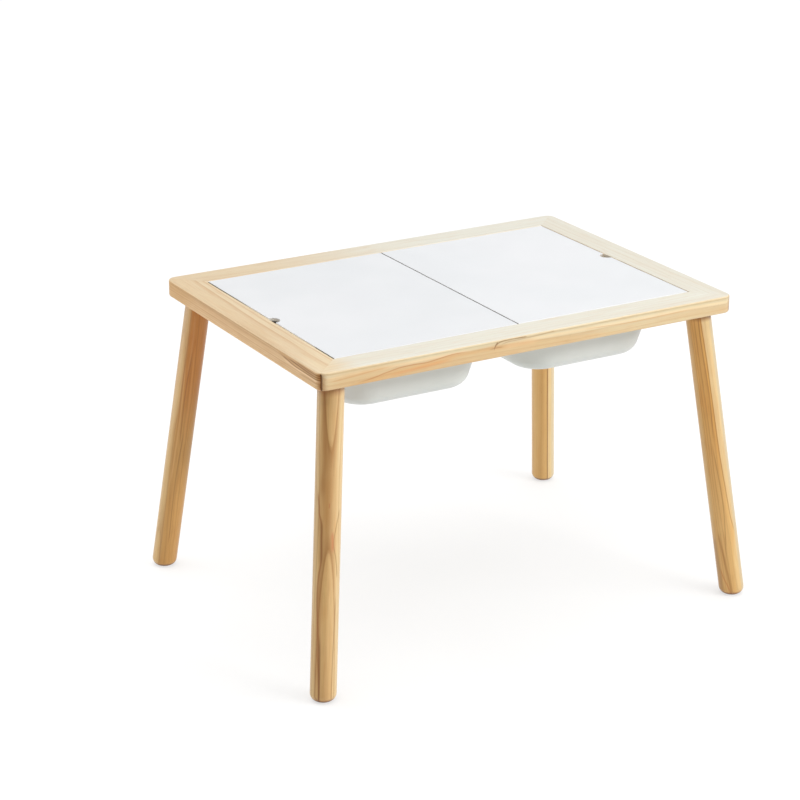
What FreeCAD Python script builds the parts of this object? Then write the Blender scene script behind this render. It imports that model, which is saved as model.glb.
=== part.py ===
import FreeCAD, Part
import math
import os

V = FreeCAD.Vector
os.makedirs("parts", exist_ok=True)

# Low play table with a mitred pine frame, four splayed round legs, two
# lift-off boards and three lift-out bins that hang in the frame.
# Millimetres. Origin on the floor under the middle of the table,
# +X to the right along the long side, +Y to the back, +Z up.

# ---------------------------------------------------------------- dimensions
TABLE_L = 730.0          # frame, outside, along X
TABLE_D = 520.0          # frame, outside, along Y
TABLE_H = 503.0          # floor to top of frame
RAIL_T = 28.0            # rail thickness
RAIL_TOP_W = 49.0        # rail width that shows beside the lids
CORNER_R = 15.0          # plan radius of the frame's corners
EDGE_R_TOP = 2.5         # round-over along the outer top edge
EDGE_R_BOTTOM = 4.0      # round-over along the outer bottom edge
ARRIS = 0.8              # broken edge inside the frame

LID_T = 6.0              # board thickness, also the depth of its rebate
LID_LEDGE = 6.0          # width of the ledge under the lids
LID_GAP_X = 2.0          # gap at a lid's outer short edge
LID_GAP_Y = 1.2          # gap at its front and rear edges
LID_SPLIT = 2.0          # gap between the two lids
LID_ARRIS = 0.6
NOTCH_R = 12.0           # finger notch
NOTCH_SHIFT = 12.0       # notch centre, off the middle of the edge
FINGER_R = 11.0          # finger recess in the ledges under each notch
FINGER_DROP = 20.0       # top of frame to the floor of that recess

BIN_LEDGE_DROP = 16.0    # top of frame to the bin ledge
BIN_LEDGE = 12.0         # width of the bin ledge

BAR_STEM_W = 16.0        # centre bar, part between the bins
BAR_FOOT_W = 40.0        # centre bar, part under the bin flanges

LEG_D = 40.0
LEG_INSET = 39.0         # leg centre under the frame, from both outer faces
LEG_SPLAY_X = 51.0       # how far the foot stands out, along X
LEG_SPLAY_Y = 60.0       # and along Y
LEG_FOOT_R = 12.0        # rounding of the foot
LEG_TOP_ARRIS = 0.8

PLATE = 54.0             # corner plate, square
PLATE_T = 2.0
PLATE_R = 6.0
PLATE_HOLE = 23.0        # screw holes, from the plate's middle
BOSS_D = 12.0
BOSS_H = 10.5            # along the bolt, from the plate's lower face
BOLT_D = 8.0
BOLT_DOWN = 40.0         # length in the leg
BOLT_UP = 11.5           # length in the plate and boss

SCREW_HEAD_D = 7.0
SCREW_HEAD_H = 2.2
SCREW_D = 3.6
SCREW_L = 14.0
BAR_SCREW_L = 20.0

SPLINE_L = 47.0
SPLINE_W = 15.0
SPLINE_T = 4.0
SPLINE_DROP = 9.0        # top of frame to the spline's middle
SPLINE_AT = 25.5         # from both outer faces

BIN_L = 294.0            # bin rim along X
BIN_BIG_W = 407.0        # large bin's rim along Y
BIN_SMALL_W = 202.0      # small bin's rim along Y
BIN_SMALL_GAP = 3.0      # between the two small bins
BIN_SIDE = 10.0          # bin rim, from the middle of the table
BIN_LIP = 4.0            # depth of the turned-down rim
BIN_LIP_T = 2.2
BIN_H = 93.5             # rim to underside
BIN_WALL = 2.2
BIN_RIM_R = 18.0         # plan radius of the rim
BIN_MOUTH_R = 58.0       # plan radius of the wall just under the rim
BIN_FOOT_R = 50.0        # plan radius of the wall at the floor
BIN_FLANGE = 12.5        # flange width
BIN_BAND_H = 24.0        # upper band of the wall
BIN_BAND_IN = 2.5        # its taper
BIN_STEP_H = 3.0         # stacking step
BIN_STEP_IN = 4.0
BIN_DRAFT = 13.6         # degrees, lower wall
BIN_FLOOR_R = 24.0       # rounding at the floor, outside
BIN_BEND_R = 1.5         # rounding of the stacking step's two bends

# ------------------------------------------------------------------- derived
Z_TOP = TABLE_H
Z_UNDER = TABLE_H - RAIL_T
Z_LID = TABLE_H - LID_T
Z_BIN = TABLE_H - BIN_LEDGE_DROP
HX, HY = TABLE_L / 2.0, TABLE_D / 2.0
LX, LY = HX - RAIL_TOP_W, HY - RAIL_TOP_W              # lid rebate
MX, MY = LX - LID_LEDGE, LY - LID_LEDGE                # opening above the bin ledge
NX, NY = MX - BIN_LEDGE, MY - BIN_LEDGE                # clear opening
CORNERS = [("front_left", -1, -1), ("front_right", 1, -1),
           ("rear_left", -1, 1), ("rear_right", 1, 1)]


# ------------------------------------------------------------------- helpers
def rr_wire(cx, cy, hx, hy, r, z):
    """Rounded rectangle, half sizes hx and hy, in the plane z."""
    k = r * math.sqrt(0.5)
    p = [V(cx + hx, cy - hy + r, z), V(cx + hx, cy + hy - r, z),
         V(cx + hx - r, cy + hy, z), V(cx - hx + r, cy + hy, z),
         V(cx - hx, cy + hy - r, z), V(cx - hx, cy - hy + r, z),
         V(cx - hx + r, cy - hy, z), V(cx + hx - r, cy - hy, z)]
    m = [V(cx + hx - r + k, cy + hy - r + k, z), V(cx - hx + r - k, cy + hy - r + k, z),
         V(cx - hx + r - k, cy - hy + r - k, z), V(cx + hx - r + k, cy - hy + r - k, z)]
    e = []
    for i in range(4):
        a, b, c = p[2 * i], p[2 * i + 1], p[(2 * i + 2) % 8]
        e.append(Part.LineSegment(a, b).toShape())
        e.append(Part.Arc(b, m[i], c).toShape())
    return Part.Wire(e)


def rr_prism(cx, cy, hx, hy, r, z0, z1):
    return Part.Face(rr_wire(cx, cy, hx, hy, r, z0)).extrude(V(0, 0, z1 - z0))


def block(x0, x1, y0, y1, z0, z1):
    return Part.makeBox(x1 - x0, y1 - y0, z1 - z0, V(x0, y0, z0))


def flat_edges(shape, z, test=lambda b: True, tol=1e-4):
    """Edges that lie in the plane z and whose boxes pass the test."""
    out = []
    for e in shape.Edges:
        b = e.BoundBox
        if abs(b.ZMin - z) < tol and abs(b.ZMax - z) < tol and test(b):
            out.append(e)
    return out


def only_solid(shape):
    s = shape.Solids
    if len(s) != 1:
        raise RuntimeError("expected one solid, got %d" % len(s))
    return s[0]


def save(name, shape):
    if not shape.isValid():
        shape.fix(0.01, 0.001, 0.1)
    print("%-18s solids %2d  volume %10.1f  valid %s" %
          (name, len(shape.Solids), shape.Volume, shape.isValid()))
    shape.exportStep("parts/%s.step" % name)


# ------------------------------------------------------------ leg geometry
def leg_axis(sx, sy):
    """Centre of the leg's top on the underside, and the axis pointing up."""
    top = V(sx * (HX - LEG_INSET), sy * (HY - LEG_INSET), Z_UNDER)
    foot = V(top.x + sx * LEG_SPLAY_X, top.y + sy * LEG_SPLAY_Y, 0)
    up = top.sub(foot)
    up.normalize()
    return top, foot, up


def rod(r, top, up, down, above):
    """Cylinder on the leg's axis, from `down` below its top to `above` over it."""
    a = top.sub(V(up.x * down, up.y * down, up.z * down))
    return Part.makeCylinder(r, down + above, a, up)


def make_leg(sx, sy):
    top, foot, up = leg_axis(sx, sy)
    leg = rod(LEG_D / 2.0, top, up, Z_UNDER / up.z + 60, 40)
    leg = leg.common(block(-900, 900, -900, 900, 0, Z_UNDER))
    leg = leg.makeFillet(LEG_FOOT_R, flat_edges(leg, 0))
    leg = leg.makeChamfer(LEG_TOP_ARRIS, flat_edges(leg, Z_UNDER))
    return only_solid(leg.cut(rod(BOLT_D / 2.0, top, up, BOLT_DOWN, 30)))


def make_bolt(sx, sy):
    top, foot, up = leg_axis(sx, sy)
    bolt = rod(BOLT_D / 2.0, top, up, BOLT_DOWN, BOLT_UP)
    ends = [e for e in bolt.Edges if isinstance(e.Curve, Part.Circle)]
    return only_solid(bolt.makeChamfer(0.9, ends))


def plate_blank(sx, sy):
    top, foot, up = leg_axis(sx, sy)
    return rr_prism(top.x, top.y, PLATE / 2, PLATE / 2, PLATE_R, Z_UNDER, Z_UNDER + PLATE_T)


def plate_screw_spots(sx, sy):
    top, foot, up = leg_axis(sx, sy)
    h = PLATE_HOLE
    return [V(top.x + dx, top.y + dy, Z_UNDER) for dx, dy in ((h, 0), (-h, 0), (0, h), (0, -h))]


def screw_blank(at, length):
    """Countersunk screw driven upwards, head flush with the underside."""
    head = Part.makeCone(SCREW_HEAD_D / 2, SCREW_D / 2, SCREW_HEAD_H, at)
    shank = Part.makeCylinder(SCREW_D / 2, length - SCREW_HEAD_H - 2.5, at.add(V(0, 0, SCREW_HEAD_H)))
    tip = Part.makeCone(SCREW_D / 2, 0.4, 2.5, at.add(V(0, 0, length - 2.5)))
    return only_solid(head.fuse(shank).fuse(tip).removeSplitter())


def screw(at, length):
    s = screw_blank(at, length)
    w, l, d = 0.9, 3.8, 1.5
    for dx, dy in ((l, w), (w, l)):
        s = s.cut(block(at.x - dx / 2, at.x + dx / 2, at.y - dy / 2, at.y + dy / 2, at.z - 1, at.z + d))
    return only_solid(s)


def make_plate(sx, sy):
    top, foot, up = leg_axis(sx, sy)
    boss = rod(BOSS_D / 2, top, up, 0, BOSS_H).common(
        block(-900, 900, -900, 900, Z_UNDER + PLATE_T / 2, Z_TOP))
    p = plate_blank(sx, sy).fuse(boss)
    for at in plate_screw_spots(sx, sy):
        p = p.cut(screw_blank(at, SCREW_L))
    return only_solid(p.cut(rod(BOLT_D / 2, top, up, 20, 40)).removeSplitter())


# ---------------------------------------------------------------- splines
def spline_at(sx, sy):
    """Lens-shaped wooden spline lying across a mitre."""
    h, w = SPLINE_L / 2, SPLINE_W / 2
    a, b = V(-h, 0, 0), V(h, 0, 0)
    e = [Part.Arc(a, V(0, w, 0), b).toShape(), Part.Arc(b, V(0, -w, 0), a).toShape()]
    s = Part.Face(Part.Wire(e)).extrude(V(0, 0, SPLINE_T))
    s.rotate(V(0, 0, 0), V(0, 0, 1), 45 if sx == sy else -45)
    s.translate(V(sx * (HX - SPLINE_AT), sy * (HY - SPLINE_AT), Z_TOP - SPLINE_DROP - SPLINE_T / 2))
    return s


# ------------------------------------------------------------------ frame
def make_ring():
    ring = rr_prism(0, 0, HX, HY, CORNER_R, Z_UNDER, Z_TOP)
    ring = ring.makeFillet(EDGE_R_TOP, flat_edges(ring, Z_TOP))
    ring = ring.makeFillet(EDGE_R_BOTTOM, flat_edges(ring, Z_UNDER))
    ring = ring.cut(block(-LX, LX, -LY, LY, Z_LID, Z_TOP + 1))
    ring = ring.cut(block(-MX, MX, -MY, MY, Z_BIN, Z_LID + 1))
    ring = ring.cut(block(-NX, NX, -NY, NY, Z_UNDER - 1, Z_BIN + 1))
    inner = flat_edges(ring, Z_TOP, lambda b: b.XMin > -LX - 0.1 and b.XMax < LX + 0.1
                       and b.YMin > -LY - 0.1 and b.YMax < LY + 0.1)
    inner += flat_edges(ring, Z_UNDER, lambda b: b.XMin > -NX - 0.1 and b.XMax < NX + 0.1
                        and b.YMin > -NY - 0.1 and b.YMax < NY + 0.1)
    return ring.makeChamfer(ARRIS, inner)


def wedge(side):
    """Prism whose slanted sides are the mitre planes of one rail."""
    far, near = 40.0, 95.0
    o = [(HX + far, HY + far), (HX - near, HY - near)]
    (ox, oy), (ix, iy) = o
    pts = {"front": [(-ox, -oy), (ox, -oy), (ix, -iy), (-ix, -iy)],
           "rear": [(-ox, oy), (ox, oy), (ix, iy), (-ix, iy)],
           "left": [(-ox, -oy), (-ox, oy), (-ix, iy), (-ix, -iy)],
           "right": [(ox, -oy), (ox, oy), (ix, iy), (ix, -iy)]}[side]
    w = Part.makePolygon([V(x, y, Z_UNDER - 5) for x, y in pts + pts[:1]])
    return Part.Face(w).extrude(V(0, 0, RAIL_T + 10))


def bar_screw_spots():
    y = NY + BIN_LEDGE / 2
    return [V(0, -y, Z_UNDER), V(0, y, Z_UNDER)]


def make_bar():
    gap = 0.2
    stem = block(-BAR_STEM_W / 2, BAR_STEM_W / 2, -MY + gap, MY - gap, Z_BIN, Z_LID)
    foot = block(-BAR_FOOT_W / 2, BAR_FOOT_W / 2, -NY + gap, NY - gap, Z_UNDER, Z_BIN)
    edges = [e for e in foot.Edges if abs(e.BoundBox.ZMin - Z_UNDER) < 1e-4
             and abs(e.BoundBox.ZMax - Z_UNDER) < 1e-4 and e.BoundBox.YLength > 100]
    foot = foot.makeChamfer(ARRIS * 1.5, edges)
    bar = stem.fuse(foot).removeSplitter()
    for at in bar_screw_spots():
        bar = bar.cut(screw_blank(at, BAR_SCREW_L))
    return only_solid(bar)


def finger_recess(side):
    """Half-round pocket in the lid ledge and bin ledge, under a lid's notch."""
    at = V(side * (LX - LID_GAP_X), side * NOTCH_SHIFT, Z_TOP - FINGER_DROP)
    well = Part.makeCylinder(FINGER_R, FINGER_DROP - LID_T + 1, at)
    return well.common(block(-LX, LX, -LY, LY, Z_UNDER, Z_LID + 1))


def make_rails():
    ring = make_ring()
    tools = []
    for name, sx, sy in CORNERS:
        top, foot, up = leg_axis(sx, sy)
        tools.append(plate_blank(sx, sy))
        tools.append(rod(BOSS_D / 2 + 0.6, top, up, 0, BOSS_H + 2.2).common(
            block(-900, 900, -900, 900, Z_UNDER + PLATE_T / 2, Z_TOP)))
        tools.append(spline_at(sx, sy))
        tools += [screw_blank(at, SCREW_L) for at in plate_screw_spots(sx, sy)]
    tools += [screw_blank(at, BAR_SCREW_L) for at in bar_screw_spots()]
    tools += [finger_recess(-1), finger_recess(1)]
    out = {}
    for side in ("front", "rear", "left", "right"):
        rail = ring.common(wedge(side))
        for t in tools:
            if rail.BoundBox.intersect(t.BoundBox):
                rail = rail.cut(t)
        out[side] = only_solid(rail)
    return out


# ------------------------------------------------------------------- lids
def make_lid(side):
    """Board with a half-round finger notch in its outer edge."""
    x0, x1 = LID_SPLIT / 2, LX - LID_GAP_X
    y1 = LY - LID_GAP_Y
    lid = block(x0, x1, -y1, y1, Z_LID, Z_TOP)
    lid = lid.cut(Part.makeCylinder(NOTCH_R, LID_T + 2, V(x1, NOTCH_SHIFT, Z_LID - 1)))
    edges = flat_edges(lid, Z_TOP) + flat_edges(lid, Z_LID)
    lid = only_solid(lid.makeChamfer(LID_ARRIS, edges))
    if side < 0:
        lid.rotate(V(0, 0, 0), V(0, 0, 1), 180)
    return lid


# ------------------------------------------------------------------- bins
def bin_sections(extra):
    """(inset from the rim, plan radius, drop below the rim), from the top down."""
    low = BIN_H - BIN_BAND_H - BIN_STEP_H
    a = BIN_FLANGE
    b = a + BIN_BAND_IN
    c = b + BIN_STEP_IN
    d = c + low * math.tan(math.radians(BIN_DRAFT))
    drops = [0.0, BIN_BAND_H, BIN_BAND_H + BIN_STEP_H, BIN_H]
    fall = BIN_MOUTH_R - BIN_FOOT_R
    radii = [BIN_MOUTH_R - fall * z / BIN_H for z in drops]
    return [(i + extra, r - extra, z) for i, r, z in zip((a, b, c, d), radii, drops)]


def tub(cx, cy, hx, hy, z_rim, secs):
    wires = [rr_wire(cx, cy, hx - i, hy - i, r, z_rim - z) for i, r, z in secs]
    body = None
    for w0, w1 in zip(wires, wires[1:]):
        s = Part.makeLoft([w0, w1], True, True)
        body = s if body is None else body.fuse(s)
    return body.removeSplitter()


def make_bin(cx, cy, hx, hy):
    z_rim = Z_BIN + BIN_LIP
    z_out = z_rim - BIN_H
    bends = [z_rim - BIN_BAND_H, z_rim - BIN_BAND_H - BIN_STEP_H]
    slope = math.tan(math.radians(BIN_DRAFT))

    out = tub(cx, cy, hx, hy, z_rim, bin_sections(0.0))
    out = out.makeFillet(BIN_FLOOR_R, flat_edges(out, z_out))
    for z in bends:
        out = out.makeFillet(BIN_BEND_R, flat_edges(out, z))
    flange = rr_prism(cx, cy, hx, hy, BIN_RIM_R, z_rim - BIN_LIP, z_rim)
    flange = flange.makeFillet(1.2, flat_edges(flange, z_rim))
    under = rr_prism(cx, cy, hx - BIN_LIP_T, hy - BIN_LIP_T, BIN_RIM_R - BIN_LIP_T,
                     z_rim - BIN_LIP - 1, z_rim - BIN_WALL)
    shell = out.fuse(flange.cut(under))

    # the hollow runs on a little above the rim, so that it cuts cleanly
    s0, s1, s2, s3 = bin_sections(BIN_WALL + 0.1)
    over = 2.0
    lean = BIN_BAND_IN / BIN_BAND_H * over
    s0 = (s0[0] - lean, s0[1], -over)
    s3 = (s3[0] - BIN_WALL * slope, s3[1], BIN_H - BIN_WALL)
    cav = tub(cx, cy, hx, hy, z_rim, [s0, s1, s2, s3])
    cav = cav.makeFillet(BIN_FLOOR_R - BIN_WALL, flat_edges(cav, z_out + BIN_WALL))
    for z in bends:
        cav = cav.makeFillet(BIN_BEND_R, flat_edges(cav, z))
    shell = only_solid(shell.cut(cav))
    keep = hx - BIN_FLANGE - 1.0
    rim = flat_edges(shell, z_rim, lambda b: b.XMin > cx - keep and b.XMax < cx + keep)
    return only_solid(shell.makeFillet(1.2, rim))


# ------------------------------------------------------------------ build
for side, rail in make_rails().items():
    save(side + "_rail", rail)
save("centre_bar", make_bar())
save("mitre_splines", Part.makeCompound([spline_at(sx, sy) for n, sx, sy in CORNERS]))
for name, sx, sy in CORNERS:
    save("leg_" + name, make_leg(sx, sy))
    save("leg_plate_" + name, make_plate(sx, sy))
    save("leg_bolt_" + name, make_bolt(sx, sy))
save("plate_screws", Part.makeCompound([screw(at, SCREW_L) for n, sx, sy in CORNERS
                                        for at in plate_screw_spots(sx, sy)]))
save("centre_bar_screws", Part.makeCompound([screw(at, BAR_SCREW_L) for at in bar_screw_spots()]))
save("left_lid", make_lid(-1))
save("right_lid", make_lid(1))

bin_cx = BIN_SIDE + BIN_L / 2
small_cy = BIN_SMALL_GAP / 2 + BIN_SMALL_W / 2
save("large_bin", make_bin(-bin_cx, 0, BIN_L / 2, BIN_BIG_W / 2))
save("small_front_bin", make_bin(bin_cx, -small_cy, BIN_L / 2, BIN_SMALL_W / 2))
save("small_rear_bin", make_bin(bin_cx, small_cy, BIN_L / 2, BIN_SMALL_W / 2))
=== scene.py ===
import math
import bpy
from mathutils import Matrix, Vector

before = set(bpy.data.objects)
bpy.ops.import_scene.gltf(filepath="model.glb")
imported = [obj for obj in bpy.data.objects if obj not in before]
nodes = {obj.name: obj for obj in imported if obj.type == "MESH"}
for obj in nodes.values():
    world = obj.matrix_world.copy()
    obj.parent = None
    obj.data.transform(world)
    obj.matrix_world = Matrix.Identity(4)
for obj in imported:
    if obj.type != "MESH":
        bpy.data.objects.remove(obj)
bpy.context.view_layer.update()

# ------------------------------------------------------------------ sizes (m)
HX, HY, TOP, RAIL_T = 0.365, 0.260, 0.503, 0.028
UNDER = TOP - RAIL_T
LEG_IN, SPLAY_X, SPLAY_Y = 0.039, 0.051, 0.060


# ------------------------------------------------------------- node builder
class Tree:
    """Small helper that adds shader nodes and links them."""

    def __init__(self, name):
        self.mat = bpy.data.materials.new(name)
        self.mat.use_nodes = True
        self.t = self.mat.node_tree
        self.t.nodes.clear()
        self.out = self.t.nodes.new("ShaderNodeOutputMaterial")
        self.bsdf = self.t.nodes.new("ShaderNodeBsdfPrincipled")
        self.t.links.new(self.bsdf.outputs[0], self.out.inputs[0])
        self.co = self.t.nodes.new("ShaderNodeTexCoord")

    def put(self, socket, value):
        if isinstance(value, bpy.types.NodeSocket):
            self.t.links.new(value, socket)
        elif value is not None:
            socket.default_value = value

    def m(self, op, a, b=None, c=None, clamp=False):
        n = self.t.nodes.new("ShaderNodeMath")
        n.operation = op
        n.use_clamp = clamp
        for i, v in enumerate((a, b, c)):
            self.put(n.inputs[i], v)
        return n.outputs[0]

    def v(self, op, a, b=None):
        n = self.t.nodes.new("ShaderNodeVectorMath")
        n.operation = op
        self.put(n.inputs[0], a)
        self.put(n.inputs[1], b)
        return n.outputs["Value"] if op in ("DOT_PRODUCT", "LENGTH", "DISTANCE") else n.outputs[0]

    def xyz(self, x, y, z):
        n = self.t.nodes.new("ShaderNodeCombineXYZ")
        for i, v in enumerate((x, y, z)):
            self.put(n.inputs[i], v)
        return n.outputs[0]

    def split(self, vec):
        n = self.t.nodes.new("ShaderNodeSeparateXYZ")
        self.put(n.inputs[0], vec)
        return n.outputs

    def noise(self, vec, scale=1.0, detail=2.0, rough=0.5, kind="3D", w=None):
        n = self.t.nodes.new("ShaderNodeTexNoise")
        n.noise_dimensions = kind
        if vec is not None:
            self.put(n.inputs["Vector"], vec)
        if w is not None:
            self.put(n.inputs["W"], w)
        n.inputs["Scale"].default_value = scale
        n.inputs["Detail"].default_value = detail
        n.inputs["Roughness"].default_value = rough
        return n.outputs["Fac"]

    def range(self, val, a0, a1, b0, b1, smooth=True):
        n = self.t.nodes.new("ShaderNodeMapRange")
        n.interpolation_type = "SMOOTHSTEP" if smooth else "LINEAR"
        self.put(n.inputs[0], val)
        for i, v in enumerate((a0, a1, b0, b1)):
            self.put(n.inputs[i + 1], v)
        return n.outputs[0]

    def ramp(self, fac, stops, interp="LINEAR"):
        n = self.t.nodes.new("ShaderNodeValToRGB")
        n.color_ramp.interpolation = interp
        e = n.color_ramp.elements
        while len(e) < len(stops):
            e.new(0.5)
        for i, (p, c) in enumerate(stops):
            e[i].position = p
            e[i].color = c if len(c) == 4 else (*c, 1.0)
        self.put(n.inputs[0], fac)
        return n.outputs[0]

    def mix(self, fac, a, b, kind="MIX"):
        n = self.t.nodes.new("ShaderNodeMix")
        n.data_type = "RGBA"
        n.blend_type = kind
        n.clamp_factor = True
        self.put(n.inputs[0], fac)
        self.put(n.inputs[6], a if isinstance(a, bpy.types.NodeSocket) else (*a, 1.0))
        self.put(n.inputs[7], b if isinstance(b, bpy.types.NodeSocket) else (*b, 1.0))
        return n.outputs[2]

    def bump(self, height, dist, strength=1.0, normal=None):
        n = self.t.nodes.new("ShaderNodeBump")
        n.inputs["Strength"].default_value = strength
        n.inputs["Distance"].default_value = dist
        self.put(n.inputs["Height"], height)
        if normal is not None:
            self.put(n.inputs["Normal"], normal)
        return n.outputs[0]

    def set(self, **kw):
        for k, v in kw.items():
            self.put(self.bsdf.inputs[k.replace("_", " ")], v)


def srgb(r, g, b):
    return tuple(((c / 255.0) / 12.92 if c <= 10 else ((c / 255.0 + 0.055) / 1.055) ** 2.4) for c in (r, g, b))


# -------------------------------------------------------------------- pine
def pine(name, along, across, centre, side, top=None, pith=(0.01, -0.07), spacing=0.0045, tilt=(0.0, 0.0), bow_at=0.0, arch=None,
         contrast=(0.6, 0.3), seed=0.0, knots=(), figure=(), fade=None, mitre=None, joint_shadow=None, wander=0.006, fleck=0.5, dashes=0.5,
         coat=(0.2, 0.34), phase=None, uneven=1.0, ripple=0.45, arris_highlight=None, spec=0.35):
    """Solid pine: growth rings about a wandering pith, fibres, resin ducts, end grain and knots, all in three dimensions.

    side and top hold the early, warm and late wood colours of the board's edges and of its upper face.
    arch is how far the rings bulge along the grain, and where that levels off.
    figure holds lines that run with the grain, and areas on one side of such a line: (points, width, colour, strength, side, fade).
    """
    t = Tree(name)
    s_dir = Vector(along).normalized()
    a_dir = (Vector(across) - s_dir * Vector(across).dot(s_dir)).normalized()
    b_dir = s_dir.cross(a_dir)
    p = t.v("SUBTRACT", t.co.outputs["Object"], tuple(centre))
    a = t.v("DOT_PRODUCT", p, tuple(a_dir))
    b = t.v("DOT_PRODUCT", p, tuple(b_dir))
    s = t.v("DOT_PRODUCT", p, tuple(s_dir))
    x, y, z = t.split(t.co.outputs["Object"])

    # the pith wanders slowly along the board
    slow = t.xyz(t.m("MULTIPLY", a, 3.0), t.m("MULTIPLY", b, 3.0), t.m("MULTIPLY_ADD", s, 2.2, seed))
    n1 = t.noise(slow, 1.0, 1.0)
    n2 = t.noise(t.v("ADD", slow, (7.3, 2.1, 4.4)), 1.0, 1.0)
    da = t.m("SUBTRACT", a, pith[0])
    da = t.m("MULTIPLY_ADD", s, tilt[0], da)
    da = t.m("MULTIPLY_ADD", t.m("SUBTRACT", n1, 0.5), wander * 2.0, da)
    db = t.m("SUBTRACT", b, pith[1])
    db = t.m("MULTIPLY_ADD", s, tilt[1], db)
    if arch is not None:
        s2 = t.m("SUBTRACT", s, bow_at)
        s2 = t.m("MULTIPLY", s2, s2)
        bulge = t.m("DIVIDE", s2, t.m("MULTIPLY_ADD", s2, 1.0 / arch[1], 1.0))
        db = t.m("MULTIPLY_ADD", bulge, arch[0], db)
    db = t.m("MULTIPLY_ADD", t.m("SUBTRACT", n2, 0.5), wander * 2.0, db)
    r = t.m("SQRT", t.m("ADD", t.m("MULTIPLY", da, da), t.m("MULTIPLY", db, db)))

    # uneven rings: fine waviness, and years of different growth
    fine = t.xyz(t.m("MULTIPLY", a, 60.0), t.m("MULTIPLY", b, 60.0), t.m("MULTIPLY_ADD", s, 5.0, seed * 3.1))
    wav = t.noise(fine, 1.0, 2.0)
    r = t.m("MULTIPLY_ADD", t.m("SUBTRACT", wav, 0.5), spacing * ripple, r)
    knot_dark = None
    for ks, ka, kb, kr, kd in knots:
        # a pin knot grows straight out from the pith through (ka, kb)
        ray = Vector((ka - pith[0], kb - pith[1], 0.0)).normalized()
        qa, qb, qs = t.m("SUBTRACT", a, ka), t.m("SUBTRACT", b, kb), t.m("SUBTRACT", s, ks)
        off = t.m("SUBTRACT", t.m("MULTIPLY", qa, -ray.y), t.m("MULTIPLY", qb, -ray.x))
        qs = t.m("MULTIPLY", qs, 0.55)
        d2 = t.m("ADD", t.m("MULTIPLY", off, off), t.m("MULTIPLY", qs, qs))
        g = t.m("POWER", 2.718, t.m("MULTIPLY", d2, -1.0 / (kr * 2.6) ** 2))
        r = t.m("MULTIPLY_ADD", g, spacing * 2.2, r)
        core = t.m("MULTIPLY", t.range(t.m("SQRT", d2), kr * 0.35, kr * 1.15, 1.0, 0.0), kd)
        knot_dark = core if knot_dark is None else t.m("MAXIMUM", knot_dark, core)
    turn = t.m("MULTIPLY_ADD", r, 1.0 / spacing, seed * 1.7 if phase is None else phase)
    turn = t.m("MULTIPLY_ADD", t.m("SINE", t.m("MULTIPLY_ADD", r, 0.9 / spacing, seed)), 0.30 * uneven, turn)
    turn = t.m("MULTIPLY_ADD", t.m("SINE", t.m("MULTIPLY_ADD", r, 0.37 / spacing, seed * 2.0)), 0.35 * uneven, turn)
    f = t.m("FRACT", turn)
    year = t.m("FLOOR", turn)
    year_n = t.noise(None, 1.0, 0.0, kind="1D", w=t.m("MULTIPLY_ADD", year, 0.731, seed + 0.37))
    ring = t.ramp(f, [(0.0, (0.55,) * 3), (0.05, (0.06,) * 3), (0.35, (0.03,) * 3), (0.62, (0.16,) * 3),
                      (0.86, (0.62,) * 3), (0.965, (1.0,) * 3), (1.0, (0.62,) * 3)])
    ring = t.m("MULTIPLY", ring, t.range(year_n, 0.25, 0.75, 0.45, 1.1))

    # long fibres, broad tone changes and streaks that run with the grain
    fib = t.noise(t.xyz(t.m("MULTIPLY", a, 1500.0), t.m("MULTIPLY", b, 1500.0), t.m("MULTIPLY_ADD", s, 22.0, seed)), 1.0, 3.0, 0.6)
    broad = t.noise(t.xyz(t.m("MULTIPLY", a, 34.0), t.m("MULTIPLY", b, 34.0), t.m("MULTIPLY_ADD", s, 2.6, seed * 5.0)), 1.0, 3.0, 0.55)
    mid = t.noise(t.xyz(t.m("MULTIPLY", a, 190.0), t.m("MULTIPLY", b, 190.0), t.m("MULTIPLY_ADD", s, 6.5, seed * 2.0)), 1.0, 3.0, 0.6)
    spots = t.noise(t.xyz(t.m("MULTIPLY", a, 150.0), t.m("MULTIPLY", b, 150.0), t.m("MULTIPLY_ADD", s, 24.0, seed * 4.0)), 1.0, 2.0, 0.5)
    dash = t.noise(t.xyz(t.m("MULTIPLY", a, 560.0), t.m("MULTIPLY", b, 560.0), t.m("MULTIPLY_ADD", s, 21.0, seed * 7.0)), 1.0, 2.0, 0.6)
    broad = t.range(broad, 0.36, 0.68, 0.0, 0.85)
    mid = t.range(mid, 0.5, 0.78, 0.0, 1.0)
    fib_m = t.range(fib, 0.35, 0.75, 0.0, 0.30)
    rosy = t.range(spots, 0.50, 0.74, 0.0, 0.5)
    lemon = t.range(spots, 0.26, 0.48, 0.45, 0.0)
    dark_dash = t.range(dash, 0.54, 0.78, 0.0, dashes)
    pale_dash = t.range(dash, 0.24, 0.44, dashes * 0.7, 0.0)

    def tone(early, warm, late, k):
        c = t.mix(broad, early, warm)
        c = t.mix(rosy, c, tuple(v * q for v, q in zip(warm, (1.0, 0.93, 0.88))))
        c = t.mix(lemon, c, tuple(v * q for v, q in zip(early, (1.0, 1.02, 0.95))))
        c = t.mix(t.m("MULTIPLY", ring, k), c, late)
        c = t.mix(t.m("MULTIPLY", mid, fleck * k), c, tuple(0.5 * (w + l) for w, l in zip(warm, late)))
        c = t.mix(t.m("MULTIPLY", dark_dash, k), c, tuple(0.35 * w + 0.65 * l for w, l in zip(warm, late)))
        c = t.mix(t.m("MULTIPLY", pale_dash, k), c, tuple(min(1.0, 1.06 * v) for v in early))
        return t.mix(t.m("MULTIPLY", fib_m, 0.4 + k), c, tuple(0.66 * v for v in warm))

    col = tone(*side, contrast[0])
    if fade is not None and top is None:
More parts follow.
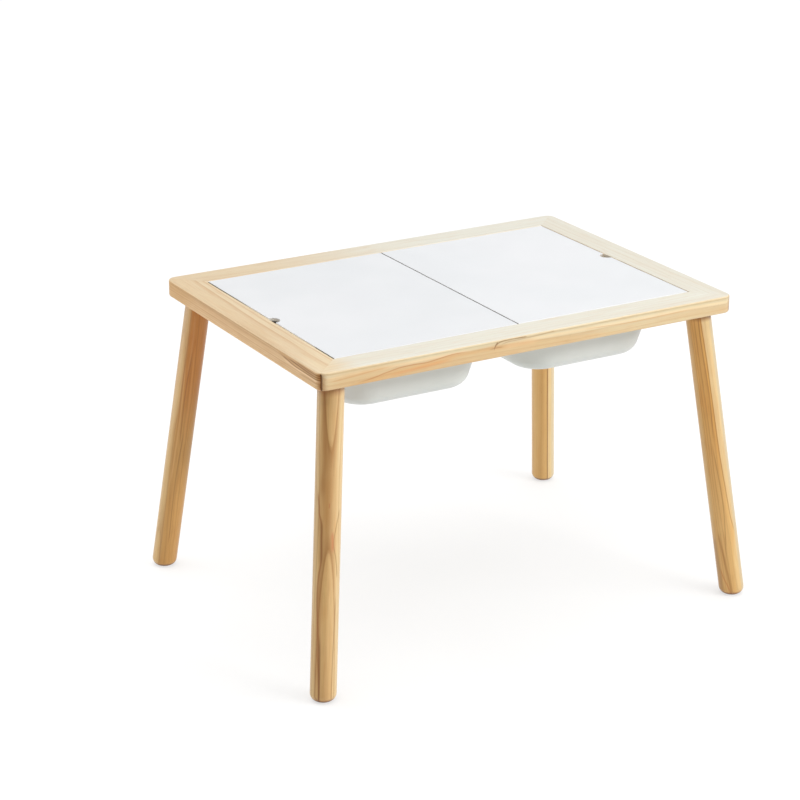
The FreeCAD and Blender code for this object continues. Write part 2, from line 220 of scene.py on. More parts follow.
        # the pole turns paler or warmer along its length
        col = t.mix(t.range(s, fade[0], fade[1], 0.0, 1.0), col, tone(*fade[2], contrast[0]))
    level = t.m("SUBTRACT", z, centre[2]) if top is not None else a
    for pts, w, tint, k, half, soft in figure:
        lo, hi = pts[0][0], pts[-1][0]
        c0, c1 = min(c for _, c in pts) - 0.001, max(c for _, c in pts) + 0.001
        path = t.ramp(t.range(s, lo, hi, 0.0, 1.0, smooth=False),
                      [((q - lo) / (hi - lo), ((c - c0) / (c1 - c0),) * 3) for q, c in pts], "CARDINAL")
        d = t.m("SUBTRACT", level, t.m("MULTIPLY_ADD", path, c1 - c0, c0))
        d = t.m("DIVIDE", t.m("MULTIPLY_ADD", t.m("SUBTRACT", wav, 0.5), w * 1.2, d), w)
        if half:
            mask = t.range(d, -1.0, 1.0, 0.0 if half > 0 else 1.0, 1.0 if half > 0 else 0.0)
        else:
            mask = t.m("POWER", 2.718, t.m("MULTIPLY", t.m("MULTIPLY", d, d), -1.0))
        ends = t.m("MULTIPLY", t.range(s, lo, lo + soft, 0.0, 1.0), t.range(s, hi - soft, hi, 1.0, 0.0))
        mask = t.m("MULTIPLY", t.m("MULTIPLY", mask, ends), k)
        col = t.mix(mask, col, tone(*tint, contrast[0]) if len(tint) == 3 and isinstance(tint[0], tuple) else tint)
    if top is not None:
        upper = tone(*top, contrast[1])
        if fade is not None:
            # the board turns paler or warmer along its length
            upper = t.mix(t.range(s, fade[0], fade[1], 0.0, 1.0), upper, tone(*fade[2], contrast[1]))
        if arris_highlight is not None:
            # painted highlight: the round-over is painted paler than the faces it joins, standing in for the light it
            # catches
            col = t.mix(t.range(z, TOP - 0.0022, TOP - 0.0012, 0.0, arris_highlight[1]), col, arris_highlight[0])
        col = t.mix(t.range(z, TOP - 0.0006, TOP - 0.0001, 0.0, 1.0), col, upper)
    # resin ducts: short dark dashes, mostly in the late wood
    duct = t.noise(t.xyz(t.m("MULTIPLY", a, 2300.0), t.m("MULTIPLY", b, 2300.0), t.m("MULTIPLY_ADD", s, 130.0, seed * 9.0)), 1.0, 0.0)
    duct = t.m("MULTIPLY", t.range(duct, 0.74, 0.80, 0.0, 1.0), t.range(ring, 0.1, 0.7, 0.15, 1.0))
    col = t.mix(t.m("MULTIPLY", duct, 0.45), col, srgb(150, 96, 48))
    if knot_dark is not None:
        col = t.mix(knot_dark, col, srgb(136, 86, 46))
    # end grain drinks more lacquer
    endg = t.m("ABSOLUTE", t.v("DOT_PRODUCT", t.co.outputs["Normal"], tuple(s_dir)))
    endg = t.range(endg, 0.22, 0.95, 0.0, 1.0)
    col = t.mix(t.m("MULTIPLY", endg, 0.75), col, srgb(196, 146, 96), "MULTIPLY")
    if mitre is not None:
        # glued mitre: a dark line down the edge of the frame, hardly seen on its top, with stained end fibres beside it
        d = t.m("ABSOLUTE", t.m("SUBTRACT", t.m("SUBTRACT", t.m("ABSOLUTE", x), t.m("ABSOLUTE", y)), HX - HY))
        low = t.range(z, TOP - 0.0035, TOP - 0.0010, 1.0, mitre[1])
        ragged = t.m("MULTIPLY_ADD", t.m("SUBTRACT", spots, 0.5), 0.0035, d)
        line = t.m("MULTIPLY", t.range(ragged, 0.0008, 0.0034, mitre[0], 0.0), low)
        col = t.mix(line, col, srgb(46, 22, 0))
        stain = t.m("MULTIPLY", t.range(d, 0.001, 0.014, mitre[2], 0.0), t.range(z, TOP - 0.006, TOP - 0.002, 1.0, 0.0))
        col = t.mix(t.m("MULTIPLY", stain, t.range(mid, 0.0, 0.8, 0.5, 1.0)), col, srgb(146, 94, 44))
    if mitre is not None:
        # partly bare, pale wood and partly painted light: the rebates that hold boards and bins are painted near-white,
        # lifting the shade in the lid seams and notches
        inside = t.m("MULTIPLY", t.range(t.m("ABSOLUTE", x), HX - 0.0475, HX - 0.0490, 0.0, 1.0), t.range(t.m("ABSOLUTE", y), HY - 0.0475, HY - 0.0490, 0.0, 1.0))
        bare_and_lift = t.m("MULTIPLY", t.range(z, TOP - 0.0002, TOP - 0.0009, 0.0, 0.8), t.range(z, UNDER + 0.0002, UNDER + 0.0009, 0.0, 1.0))
        col = t.mix(t.m("MULTIPLY", inside, bare_and_lift), col, srgb(243, 236, 222))
        # painted shade: the finger recess below each notch is painted dark, standing in for the shade inside it
        recess_shade = t.range(t.m("ABSOLUTE", t.m("SUBTRACT", t.m("MULTIPLY", y, t.m("SIGN", x)), 0.012)), 0.0110, 0.0118, 1.0, 0.0)
        recess_shade = t.m("MULTIPLY", t.m("MULTIPLY", recess_shade, inside), t.range(z, TOP - 0.0058, TOP - 0.0068, 0.0, 0.85))
        recess_shade = t.m("MULTIPLY", recess_shade, t.range(t.m("ABSOLUTE", x), 0.2995, 0.3005, 0.0, 1.0))
        col = t.mix(recess_shade, col, srgb(112, 92, 68))
    if joint_shadow is not None:
        # painted shadow: a dark band where the leg meets the frame stands in for the shadow under the rail, and the
        # rounded foot is painted dark where it meets the floor, standing in for its contact shadow
        col = t.mix(t.range(z, 0.0022, 0.0085, 0.85, 0.0), col, srgb(92, 54, 20))
        col = t.mix(t.range(z, joint_shadow[0], joint_shadow[1], 0.0, 0.6), col, srgb(136, 74, 24))
    t.set(Base_Color=col)
    t.set(Roughness=t.m("ADD", t.range(fib, 0.3, 0.75, 0.30, 0.42), t.m("MULTIPLY", endg, 0.15)))
    h = t.m("ADD", t.m("MULTIPLY", fib, 0.7), t.m("MULTIPLY", ring, 0.5))
    t.set(Normal=t.bump(h, 0.00006, 0.7))
    t.set(Coat_Weight=coat[0], Coat_Roughness=coat[1], Specular_IOR_Level=spec)
    return t.mat


# ------------------------------------------------------------------- whites
def white_board(name, seed, early, late, lifted_span=None):
    """White melamine face: faint cloudiness and fine orange peel in the gloss; raw fibreboard on the cut ends, a
    painted highlight on the notch wall and, where given, painted light on the middle of the outer end.
    """
    t = Tree(name)
    p = t.v("ADD", t.co.outputs["Object"], (seed, seed * 0.7, 0.0))
    cloud = t.noise(p, 5.0, 3.0, 0.5)
    peel = t.noise(p, 1400.0, 2.0, 0.5)
    rub = t.noise(p, 16.0, 3.0, 0.55)
    crumb = t.noise(p, 900.0, 3.0, 0.6)
    nx, ny, nz = t.split(t.co.outputs["Normal"])
    x, y, _ = t.split(t.co.outputs["Object"])
    upright = t.range(t.m("ABSOLUTE", nz), 0.35, 0.60, 1.0, 0.0)
    ends = t.m("MAXIMUM", t.range(t.m("ABSOLUTE", nx), 0.3, 0.6, 0.0, 1.0), t.range(t.m("ABSOLUTE", y), 0.030, 0.034, 1.0, 0.0))
    raw = t.m("MULTIPLY", upright, ends)
    notch = t.m("MULTIPLY", t.range(t.m("ABSOLUTE", y), 0.030, 0.034, 1.0, 0.0), t.range(t.m("ABSOLUTE", x), 0.24, 0.25, 0.0, 1.0))
    white = t.mix(t.range(cloud, 0.3, 0.7, 0.0, 1.0), early, late)
    board = t.mix(t.range(crumb, 0.3, 0.7, 0.0, 1.0), srgb(104, 94, 80), srgb(132, 120, 102))
    # painted highlight: the notch wall is painted pale, with raw-board brown left only on its far side
    notch_highlight = t.mix(t.range(crumb, 0.3, 0.7, 0.0, 1.0), srgb(226, 221, 214), srgb(238, 233, 226))
    board = t.mix(notch, board, t.mix(t.range(y, -0.013, -0.022, 0.0, 1.0), notch_highlight, srgb(120, 112, 100)))
    if lifted_span is not None:
        # painted light: the middle of the outer end is painted near-white, lifting the shade in the gap beside it;
        # towards the corners it stays raw-board brown
        end_lift = t.m("MULTIPLY", t.range(y, lifted_span[0] - 0.01, lifted_span[0], 0.0, 1.0), t.range(y, lifted_span[1], lifted_span[1] + 0.08, 1.0, 0.0))
        end_lift = t.m("MULTIPLY", end_lift, t.range(x, -0.25, -0.24, 1.0, 0.0))
        board = t.mix(end_lift, board, srgb(246, 243, 236))
    t.set(Base_Color=t.mix(raw, white, board))
    t.set(Roughness=t.m("MULTIPLY_ADD", raw, 0.45, t.range(rub, 0.3, 0.7, 0.30, 0.36)))
    t.set(Normal=t.bump(t.m("MULTIPLY_ADD", t.m("MULTIPLY", crumb, raw), 4.0, peel), 0.00002, 0.3))
    t.set(Coat_Weight=0.1, Coat_Roughness=0.2)
    return t.mat


def white_plastic(name, seed):
    """Moulded polypropylene: clean cool white inside and on the rim, fine grain all over, and a painted shade outside
    that stands in for the shade the walls hang in under the frame.
    """
    t = Tree(name)
    p = t.v("ADD", t.co.outputs["Object"], (seed, seed * 0.7, 0.0))
    cloud = t.noise(p, 11.0, 3.0, 0.55)
    grain = t.noise(p, 2600.0, 2.0, 0.5)
    flow = t.noise(t.v("MULTIPLY", p, (30.0, 30.0, 5.0)), 1.0, 3.0, 0.5)
    _, _, nz = t.split(t.co.outputs["Normal"])
    inner = t.range(nz, -0.05, 0.06, 0.0, 1.0)
    fac = t.range(cloud, 0.3, 0.7, 0.0, 1.0)
    # painted shade: the outside walls are greyer than the inside and rim
    outside_shade = t.mix(fac, srgb(202, 206, 201), srgb(208, 211, 207))
    t.set(Base_Color=t.mix(inner, outside_shade, t.mix(fac, srgb(232, 235, 237), srgb(237, 240, 242))))
    t.set(Roughness=t.range(flow, 0.3, 0.7, 0.31, 0.39))
    t.set(Normal=t.bump(grain, 0.00002, 0.4))
    return t.mat


def zinc(name):
    """Bright zinc plate: crystalline mottling and fine rolling marks."""
    t = Tree(name)
    p = t.co.outputs["Object"]
    spangle = t.noise(p, 420.0, 3.0, 0.6)
    roll = t.noise(t.v("MULTIPLY", p, (40.0, 2600.0, 2600.0)), 1.0, 2.0, 0.5)
    t.set(Base_Color=t.mix(t.range(spangle, 0.3, 0.7, 0.0, 1.0), srgb(186, 190, 194), srgb(214, 217, 219)))
    t.set(Metallic=1.0, Roughness=t.range(roll, 0.3, 0.7, 0.26, 0.42))
    t.set(Normal=t.bump(roll, 0.00002, 0.5))
    return t.mat


def paint(node, mat):
    o = nodes[node]
    o.data.materials.clear()
    o.data.materials.append(mat)


X, Y, Z = Vector((1, 0, 0)), Vector((0, 1, 0)), Vector((0, 0, 1))
mid_z = TOP - 0.013
honey = (srgb(236, 212, 172), srgb(231, 198, 150), srgb(198, 142, 88))
amber = (srgb(225, 190, 138), srgb(221, 177, 121), srgb(192, 131, 74))
straw = (srgb(227, 217, 186), srgb(222, 205, 166), srgb(196, 152, 100))
honey_deep = (srgb(225, 204, 163), srgb(220, 192, 148), srgb(190, 141, 88))
cream = (srgb(231, 229, 217), srgb(228, 221, 205), srgb(208, 189, 155))
tan_top = (srgb(228, 209, 177), srgb(223, 199, 163), srgb(194, 150, 104))
tan_pale = (srgb(234, 218, 188), srgb(229, 208, 172), srgb(202, 160, 116))
oak = (srgb(228, 192, 145), srgb(219, 179, 129), srgb(180, 128, 77))
umber = (srgb(212, 170, 118), srgb(202, 156, 104), srgb(150, 100, 50))
brown_band = (srgb(220, 184, 138), srgb(210, 172, 122), srgb(164, 116, 66))
line_brown = srgb(164, 106, 58)
front_figure = [
    ([(-0.40, 0.0030), (-0.20, 0.0065), (0.0, 0.0040), (0.20, 0.0010), (0.40, 0.0015)], 0.0055, straw, 0.9, 1, 0.01),
    ([(-0.37, 0.0030), (-0.20, 0.0044), (-0.10, 0.0046)], 0.0026, srgb(246, 217, 172), 0.6, 0, 0.03),
    ([(-0.03, 0.0050), (0.10, 0.0042), (0.37, 0.0042)], 0.0026, srgb(246, 220, 176), 0.55, 0, 0.03),
    # the end by the near corner is warm all over
    ([(-0.40, -0.03), (-0.20, -0.03)], 0.001, amber, 0.55, 1, 0.09),
    # warmer wood below a line that climbs from the near corner to the middle of the rail
    ([(-0.40, -0.017), (-0.31, -0.0115), (-0.270, -0.0061), (-0.2406, -0.001), (-0.214, 0.0006), (-0.185, 0.0004), (-0.148, 0.0040),
      (-0.10, 0.0048), (-0.07, 0.0056), (-0.03, 0.003), (0.05, -0.001), (0.15, -0.0085), (0.25, -0.0125), (0.40, -0.016)], 0.0018, amber, 0.4, -1, 0.03),
    ([(-0.33, -0.0135), (-0.270, -0.0090), (-0.2406, -0.0042), (-0.185, -0.0028), (-0.148, 0.0006), (-0.07, 0.0015), (0.02, -0.0015)],
     0.0034, amber, 0.7, 0, 0.04),
    ([(-0.31, -0.0110), (-0.270, -0.0061), (-0.2406, -0.0008), (-0.214, 0.0006), (-0.185, 0.0002), (-0.148, 0.0044), (-0.11, 0.0042)],
     0.0008, srgb(190, 118, 60), 0.7, 0, 0.03),
    ([(-0.265, -0.0085), (-0.20, -0.0052), (-0.135, -0.0025)], 0.0026, srgb(228, 156, 94), 0.42, 0, 0.035),
    ([(-0.36, -0.002), (-0.30, 0.0015), (-0.24, 0.0052)], 0.0009, srgb(206, 150, 92), 0.45, 0, 0.03),
    # a hooked figure where a twig once grew, and the lines that flow round it
    ([(-0.0712, 0.0020), (-0.0695, 0.0058), (-0.0660, 0.0088), (-0.058, 0.0104), (-0.040, 0.0110), (-0.015, 0.0102)], 0.0010, srgb(140, 92, 52), 0.95, 0, 0.006),
    ([(-0.0745, -0.0010), (-0.0725, 0.0034), (-0.0700, 0.0070), (-0.0665, 0.0092)], 0.0017, srgb(136, 88, 48), 0.9, 0, 0.0016),
    ([(-0.064, 0.0005), (-0.03, 0.0020), (0.01, 0.0010)], 0.0044, srgb(236, 198, 150), 0.45, 0, 0.02),
    ([(-0.0640, 0.0030), (-0.060, 0.0058), (-0.050, 0.0076), (-0.030, 0.0080), (0.010, 0.0092), (0.040, 0.0112)], 0.0007, line_brown, 0.5, 0, 0.012),
    ([(-0.085, 0.0008), (-0.070, 0.0016), (-0.055, 0.0010)], 0.0010, line_brown, 0.5, 0, 0.010),
    # painted shade: a faint dark line just below the top round-over
    ([(-0.37, 0.0094), (-0.15, 0.0098), (0.10, 0.0094), (0.37, 0.0096)], 0.0010, srgb(196, 172, 126), 0.45, 0, 0.03),
    ([(0.08, 0.004), (0.18, 0.0012), (0.30, 0.0035)], 0.0008, srgb(208, 156, 100), 0.5, 0, 0.04)]
left_figure = [
    # the upper half of the edge is browner; the lower arris is painted paler, a painted highlight on the round-over
    ([(-0.34, 0.0030), (-0.10, 0.0040), (0.10, 0.0030), (0.34, 0.0035)], 0.0022, brown_band, 0.6, 1, 0.01),
    ([(-0.34, -0.0100), (0.34, -0.0100)], 0.0014, srgb(232, 190, 138), 0.5, -1, 0.01),
    ([(-0.30, 0.0098), (-0.05, 0.0100), (0.30, 0.0098)], 0.0007, srgb(140, 92, 44), 0.4, 0, 0.02),
    # a dark wedge that runs out of the near corner along the upper half of the edge
    ([(-0.30, 0.0006), (-0.2484, 0.0011), (-0.2149, 0.0014), (-0.1806, 0.0019), (-0.1422, 0.0058), (-0.118, 0.0120)], 0.0010, umber, 0.9, 1, 0.012),
    ([(-0.30, 0.0008), (-0.2484, 0.0013), (-0.2149, 0.0017), (-0.1806, 0.0024), (-0.1422, 0.0064)], 0.0008, srgb(124, 76, 26), 0.75, 0, 0.012),
    ([(-0.27, 0.0046), (-0.21, 0.0054), (-0.16, 0.0082)], 0.0009, srgb(112, 66, 18), 0.75, 0, 0.02),
    ([(-0.27, 0.0082), (-0.22, 0.0086), (-0.18, 0.0096)], 0.0008, srgb(112, 66, 18), 0.65, 0, 0.02),
    ([(-0.27, -0.0014), (-0.2149, -0.0008), (-0.17, 0.0004), (-0.14, 0.0030)], 0.0010, srgb(250, 216, 172), 0.7, 0, 0.02),
    ([(-0.27, -0.0050), (-0.23, -0.0042), (-0.19, -0.0050)], 0.0007, srgb(160, 108, 58), 0.5, 0, 0.02),
    ([(-0.12, 0.0070), (0.02, 0.0050), (0.16, 0.0078)], 0.0022, umber, 0.45, 0, 0.05),
    ([(0.13, -0.03), (0.34, -0.03)], 0.001, (srgb(216, 176, 122), srgb(206, 162, 104), srgb(164, 114, 62)), 0.7, 1, 0.07)]
paint("front_rail", pine("pine_front_rail", X, Y, (0, -0.2265, mid_z), honey_deep, tan_pale, fade=(-0.345, -0.285, cream), pith=(0.05, -0.075),
                         spacing=0.0052, seed=1.3, contrast=(0.45, 0.3), mitre=(0.9, 0.0, 0.6), arris_highlight=(srgb(228, 208, 170), 0.8), coat=(0.1, 0.34), spec=0.25, figure=front_figure))
paint("rear_rail", pine("pine_rear_rail", X, Y, (0, 0.2265, mid_z), honey, tan_top, fade=(-0.28, 0.12, cream), pith=(0.02, -0.09),
                        spacing=0.0046, seed=4.7, mitre=(0.75, 0.0, 0.2), knots=[(0.14, 0.0335, -0.003, 0.0026, 0.5)]))
paint("left_rail", pine("pine_left_rail", Y, X, (-0.3315, 0, mid_z), oak, tan_pale, fade=(-0.22, -0.08, tan_top), contrast=(0.6, 0.65),
                        pith=(-0.02, 0.05), spacing=0.004, seed=8.2, mitre=(0.95, 0.0, 0.85), dashes=0.8, coat=(0.0, 0.4), spec=0.1, arris_highlight=(srgb(238, 214, 176), 0.85), figure=left_figure))
paint("right_rail", pine("pine_right_rail", Y, X, (0.3315, 0, mid_z), honey, cream, pith=(0.03, -0.08), spacing=0.005, seed=12.9,
                         mitre=(0.75, 0.0, 0.25)))
paint("centre_bar", pine("pine_centre_bar", Y, X, (0, 0, 0.487), honey, pith=(0.03, -0.05), spacing=0.004, seed=17.1))
paint("mitre_splines", pine("beech_splines", (1, 1, 0), Z, (0, 0, 0.494), (srgb(206, 166, 116), srgb(196, 152, 102), srgb(176, 130, 82)),
                            pith=(0.2, 0.3), spacing=0.002, seed=3.3))
gold = (srgb(212, 173, 114), srgb(205, 161, 98), srgb(150, 98, 42))
gold_light = (srgb(234, 197, 142), srgb(228, 186, 126), srgb(184, 130, 72))
gold_pale = (srgb(226, 184, 117), srgb(217, 169, 100), srgb(176, 122, 62))
gold_deep = (srgb(218, 166, 90), srgb(208, 150, 74), srgb(154, 98, 42))
red_brown = (srgb(194, 128, 54), srgb(186, 116, 44), srgb(140, 80, 30))
olive = (srgb(204, 154, 86), srgb(194, 142, 72), srgb(150, 100, 46))
# the next four colours are the pale zones and edge strips of the legs: partly pale sapwood and partly painted light
# laid on the sides where light catches each leg; the greyish one is a painted sheen along the right edge
sap_and_lit_side = (srgb(228, 200, 148), srgb(223, 187, 130), srgb(188, 136, 78))
sap_grey_and_lit_edge = (srgb(218, 185, 130), srgb(208, 171, 112), srgb(164, 122, 70))
rind_and_sheen = srgb(196, 178, 142)
sap_lemon_and_lit_edge = (srgb(236, 211, 162), srgb(231, 200, 144), srgb(200, 154, 96))
near_figure = [
    ([(-0.30, 0.0040), (0.30, 0.0030)], 0.0050, gold_light, 0.75, 1, 0.01),
    ([(0.015, -0.002), (0.07, -0.001), (0.115, 0.0)], 0.0085, srgb(176, 122, 60), 0.45, 0, 0.03),
    ([(-0.24, -0.0085), (-0.10, -0.0095), (-0.03, -0.0085)], 0.0030, srgb(170, 112, 52), 0.5, 0, 0.05),
    ([(0.060, -0.0076), (0.10, -0.0068), (0.128, -0.0058), (0.172, -0.0074), (0.217, -0.0084), (0.28, -0.009)], 0.0036, srgb(158, 105, 46), 0.6, 0, 0.03),
    ([(-0.30, -0.0128), (0.30, -0.0132)], 0.0012, sap_grey_and_lit_edge, 0.8, -1, 0.01),
    ([(-0.30, 0.0125), (0.02, 0.0135), (0.30, 0.0115)], 0.0028, sap_lemon_and_lit_edge, 0.75, 1, 0.01),
    ([(-0.28, -0.0060), (-0.20, -0.0066), (-0.174, -0.0086), (-0.143, -0.0092), (-0.1205, -0.0104), (-0.0825, -0.0122), (-0.045, -0.0106),
      (-0.0225, -0.0076), (0.0077, -0.0080), (0.030, -0.0080), (0.045, -0.0114), (0.060, -0.0126), (0.085, -0.0150)], 0.0013, srgb(150, 88, 30), 0.7, 0, 0.02),
    ([(-0.035, -0.0082), (0.010, -0.0082), (0.045, -0.0092)], 0.0024, srgb(136, 88, 34), 0.6, 0, 0.02),
    ([(-0.0525, 0.0160), (-0.030, 0.0148), (-0.015, 0.0128), (0.0, 0.0104), (0.018, 0.0116), (0.0375, 0.0148), (0.0555, 0.0172)],
     0.0007, srgb(156, 108, 46), 0.6, 0, 0.01),
    ([(-0.255, 0.0122), (-0.18, 0.0128), (-0.07, 0.0148)], 0.0008, srgb(150, 100, 50), 0.55, 0, 0.03),
    ([(-0.26, -0.0062), (-0.20, -0.0064), (-0.13, -0.0072)], 0.0015, srgb(122, 74, 26), 0.65, 0, 0.03),
    ([(-0.014, 0.0092), (0.024, 0.0082)], 0.0018, srgb(206, 128, 80), 0.7, 0, 0.012),
    ([(0.054, 0.0026), (0.065, 0.0028)], 0.0008, srgb(178, 104, 60), 0.7, 0, 0.004)]
right_border = [(-0.30, 0.030), (-0.20, 0.024), (-0.14, 0.0168), (-0.11, 0.0124), (-0.075, 0.0102), (-0.04, 0.0084), (0.0, 0.0064), (0.104, 0.0050),
                (0.17, 0.0040), (0.211, 0.0024), (0.30, 0.0012)]
right_figure = [
    (right_border, 0.0008, sap_and_lit_side, 0.95, 1, 0.01),
    ([(q, c - 0.0010) for q, c in right_border[2:]], 0.0007, srgb(142, 92, 38), 0.55, 0, 0.03),
    ([(0.02, -0.0020), (0.10, 0.0005), (0.20, -0.0025), (0.26, -0.001)], 0.0009, srgb(140, 88, 36), 0.5, 0, 0.04),
    ([(-0.18, -0.004), (-0.08, 0.0010), (0.03, -0.0045)], 0.0009, srgb(150, 98, 42), 0.5, 0, 0.04),
    ([(-0.24, -0.0025), (-0.215, -0.0095), (-0.19, -0.0155)], 0.0010, srgb(196, 124, 64), 0.7, 0, 0.008),
    ([(-0.30, 0.0080), (-0.19, 0.0085), (-0.15, 0.0120), (-0.12, 0.0165)], 0.0030, sap_and_lit_side, 0.6, 1, 0.01),
    ([(-0.26, -0.0010), (-0.20, -0.0050), (-0.165, -0.0085), (-0.12, -0.0125)], 0.0018, srgb(162, 104, 44), 0.55, 0, 0.025),
    ([(-0.30, -0.0150), (0.30, -0.0150)], 0.0012, sap_grey_and_lit_edge, 0.5, -1, 0.01),
    ([(-0.30, -0.0135), (-0.20, -0.0145), (-0.13, -0.0165)], 0.0022, srgb(164, 116, 62), 0.6, -1, 0.02),
    # painted sheen: a pale greyish strip along the right edge
    ([(-0.30, 0.0150), (0.30, 0.0150)], 0.0020, rind_and_sheen, 0.75, 1, 0.01)]
left_border = [(-0.30, -0.0100), (-0.10, -0.0116), (0.0, -0.0126), (0.05, -0.0104), (0.12, -0.0096), (0.20, -0.0094), (0.30, -0.0112)]
left_leg_figure = [
    ([(q, c + 0.0012) for q, c in left_border], 0.0042, sap_grey_and_lit_edge, 0.85, -1, 0.01),
    ([(-0.10, -0.0070), (0.02, -0.0040), (0.14, -0.0062)], 0.0014, srgb(218, 168, 104), 0.55, 0, 0.04),
    ([(-0.02, 0.0060), (0.07, 0.0072), (0.17, 0.0050)], 0.0012, srgb(212, 150, 84), 0.5, 0, 0.04),
    ([(0.10, -0.0020), (0.16, 0.0000), (0.23, -0.0015)], 0.0016, srgb(206, 146, 82), 0.5, 0, 0.03),
    ([(q, c + 0.0022) for q, c in left_border], 0.0010, srgb(132, 82, 36), 0.2, 0, 0.02),
    ([(-0.02, 0.0010), (0.08, -0.0010), (0.16, 0.0020)], 0.0010, srgb(140, 84, 36), 0.5, 0, 0.03),
    ([(-0.20, 0.0040), (-0.08, 0.0015), (0.02, 0.0050)], 0.0009, srgb(140, 90, 40), 0.5, 0, 0.03)]
back_figure = [
    ([(-0.30, 0.0074), (0.0, 0.0078), (0.30, 0.0074)], 0.0008, sap_lemon_and_lit_edge, 0.9, 1, 0.01),
    ([(-0.30, 0.0068), (0.0, 0.0072), (0.30, 0.0068)], 0.0010, srgb(132, 82, 32), 0.85, 0, 0.01),
    ([(-0.30, -0.006), (0.0, -0.004), (0.30, -0.007)], 0.0060, srgb(196, 146, 80), 0.5, 0, 0.01),
    ([(-0.30, -0.0155), (0.30, -0.0155)], 0.0014, sap_grey_and_lit_edge, 0.2, -1, 0.01),
    # painted sheen: a pale greyish strip along the right edge
    ([(-0.30, 0.0140), (0.30, 0.0140)], 0.0025, srgb(206, 190, 156), 0.7, 1, 0.01)]
# the legs' across axis is the camera's right, so the pale sides and edge strips in the leg figures fall where light
# catches each leg as seen from the camera: partly the wood's tone, partly painted light
wide = Vector((0.867, -0.499, 0.0))
legs = {"front_left": dict(side=gold, pith=(-0.006, 0.045), spacing=0.005, arch=(-0.227, 0.03), bow_at=0.061, contrast=(0.85, 0.3), wander=0.0008,
                           phase=0.705, uneven=0.0, ripple=0.15, figure=near_figure, dashes=0.3, joint_shadow=(UNDER - 0.020, UNDER - 0.007)),
        "front_right": dict(side=gold_deep, fade=(0.10, -0.12, gold_pale), pith=(-0.05, 0.03), spacing=0.0046, tilt=(0.012, 0.0), contrast=(0.5, 0.3),
                            figure=right_figure, dashes=0.9, ripple=0.9, joint_shadow=(UNDER - 0.016, UNDER - 0.008)),
        "rear_left": dict(side=red_brown, fade=(0.13, -0.03, olive), pith=(0.045, 0.04), spacing=0.0042, tilt=(0.01, 0.006), contrast=(0.4, 0.3),
                          figure=left_leg_figure, dashes=0.9, ripple=0.9, joint_shadow=(UNDER - 0.014, UNDER - 0.006)),
        "rear_right": dict(side=gold_pale, pith=(-0.06, 0.02), spacing=0.0056, contrast=(0.25, 0.3), figure=back_figure, joint_shadow=(UNDER - 0.016, UNDER - 0.008))}
for i, (name, sx, sy) in enumerate((("front_left", -1, -1), ("front_right", 1, -1), ("rear_left", -1, 1), ("rear_right", 1, 1))):
    high = Vector((sx * (HX - LEG_IN), sy * (HY - LEG_IN), UNDER))
    foot = Vector((high.x + sx * SPLAY_X, high.y + sy * SPLAY_Y, 0.0))
    paint("leg_" + name, pine("pine_leg_" + name, high - foot, wide, (high + foot) / 2, seed=21.0 + 5.3 * i, **legs[name]))

steel = zinc("zinc_plate")
for n in nodes:
    if n.startswith("leg_plate") or n.startswith("leg_bolt") or n.endswith("screws"):
        paint(n, steel)
# the same board on both lids; the right lid's white is painted a little brighter, standing in for the extra light it
# gets
paint("left_lid", white_board("white_board_left", 1.7, srgb(229, 231, 233), srgb(233, 234, 236), (-0.145, 0.045)))
paint("right_lid", white_board("white_board_right", 5.2, srgb(231, 233, 235), srgb(235, 236, 238)))
paint("large_bin", white_plastic("white_plastic_large", 2.2))
paint("small_front_bin", white_plastic("white_plastic_front", 6.1))
paint("small_rear_bin", white_plastic("white_plastic_rear", 9.4))


# ------------------------------------------------------------ floor and light
me = bpy.data.meshes.new("floor")
me.from_pydata([(-9, -9, 0), (9, -9, 0), (9, 9, 0), (-9, 9, 0)], [], [(0, 1, 2, 3)])
floor = bpy.data.objects.new("floor", me)
bpy.context.scene.collection.objects.link(floor)
ft = Tree("floor_white")
fleck = ft.range(ft.noise(ft.co.outputs["Object"], 2.0, 2.0), 0.3, 0.7, 0.0, 1.0)
ft.set(Base_Color=ft.mix(fleck, (0.35, 0.35, 0.35), (0.37, 0.37, 0.37)))
ft.set(Roughness=0.9, Specular_IOR_Level=0.0, Emission_Strength=0.64)
ft.set(Emission_Color=ft.mix(fleck, (0.985, 0.985, 0.985), (1.0, 1.0, 1.0)))
me.materials.append(ft.mat)

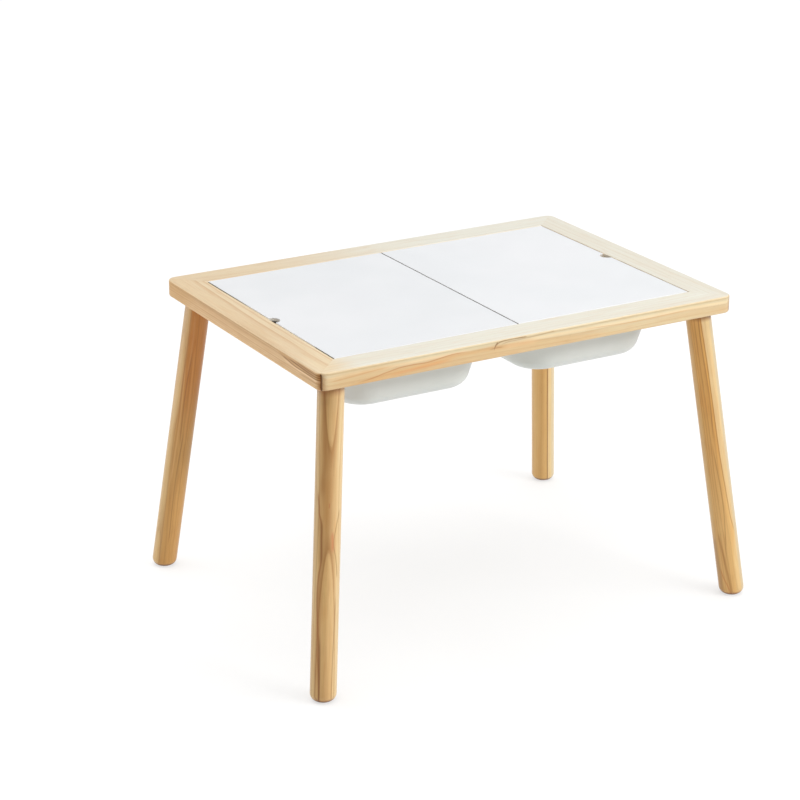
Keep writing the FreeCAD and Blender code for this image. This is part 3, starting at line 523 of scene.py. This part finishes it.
world = bpy.data.worlds.new("studio")
bpy.context.scene.world = world
world.use_nodes = True
bg = world.node_tree.nodes["Background"]
bg.inputs["Color"].default_value = (1.0, 1.0, 1.0, 1.0)
bg.inputs["Strength"].default_value = 0.26


def place(light, at, aim):
    o = bpy.data.objects.new(light.name, light)
    bpy.context.scene.collection.objects.link(o)
    o.location = at
    o.rotation_mode = "QUATERNION"
    o.rotation_quaternion = (Vector(aim) - Vector(at)).to_track_quat("-Z", "Y")
    o.visible_camera = False
    return o


def softbox(name, at, aim, size, radiance, colour=(1, 1, 1)):
    light = bpy.data.lights.new(name, "AREA")
    light.shape = "RECTANGLE"
    light.size, light.size_y = size
    light.energy = radiance * math.pi * size[0] * size[1]
    light.color = colour
    return place(light, at, aim)


def sun(name, at, share, spread):
    light = bpy.data.lights.new(name, "SUN")
    light.energy = share * math.pi
    light.angle = math.radians(spread)
    return place(light, at, (0.0, 0.0, 0.0))


sun("overhead", (0.1, 0.3, 3.0), 0.78, 90.0)
softbox("key", (3.8, -3.5, 2.41), (3.8, 0.0, 0.45), (5.0, 0.55), 21.0)
softbox("left_box", (-1.25, 0.95, 0.5), (-0.3, 0.0, 0.35), (0.9, 1.0), 1.3)

# -------------------------------------------------------------------- camera
cam_data = bpy.data.cameras.new("camera")
cam = bpy.data.objects.new("camera", cam_data)
bpy.context.scene.collection.objects.link(cam)
cam_data.sensor_width = 36.0
cam_data.sensor_fit = "AUTO"
cam_data.lens = 107.876
cam_data.clip_start, cam_data.clip_end = 0.1, 60.0
az, el, roll = math.radians(-29.9262), math.radians(20.5525), math.radians(0.0448)
back = Vector((math.sin(az) * math.cos(el), -math.cos(az) * math.cos(el), math.sin(el)))
right = (-back).cross(Z).normalized()
up = right.cross(-back)
right, up = math.cos(roll) * right + math.sin(roll) * up, -math.sin(roll) * right + math.cos(roll) * up
rot = Matrix((right, up, back)).transposed()
cam.matrix_world = Matrix.Translation((-1.85754, -3.08052, 1.66047)) @ rot.to_4x4()
bpy.context.scene.camera = cam
bpy.context.scene.view_settings.view_transform = "Standard"
bpy.context.scene.view_settings.look = "None"
bpy.context.scene.view_settings.exposure = 0.0
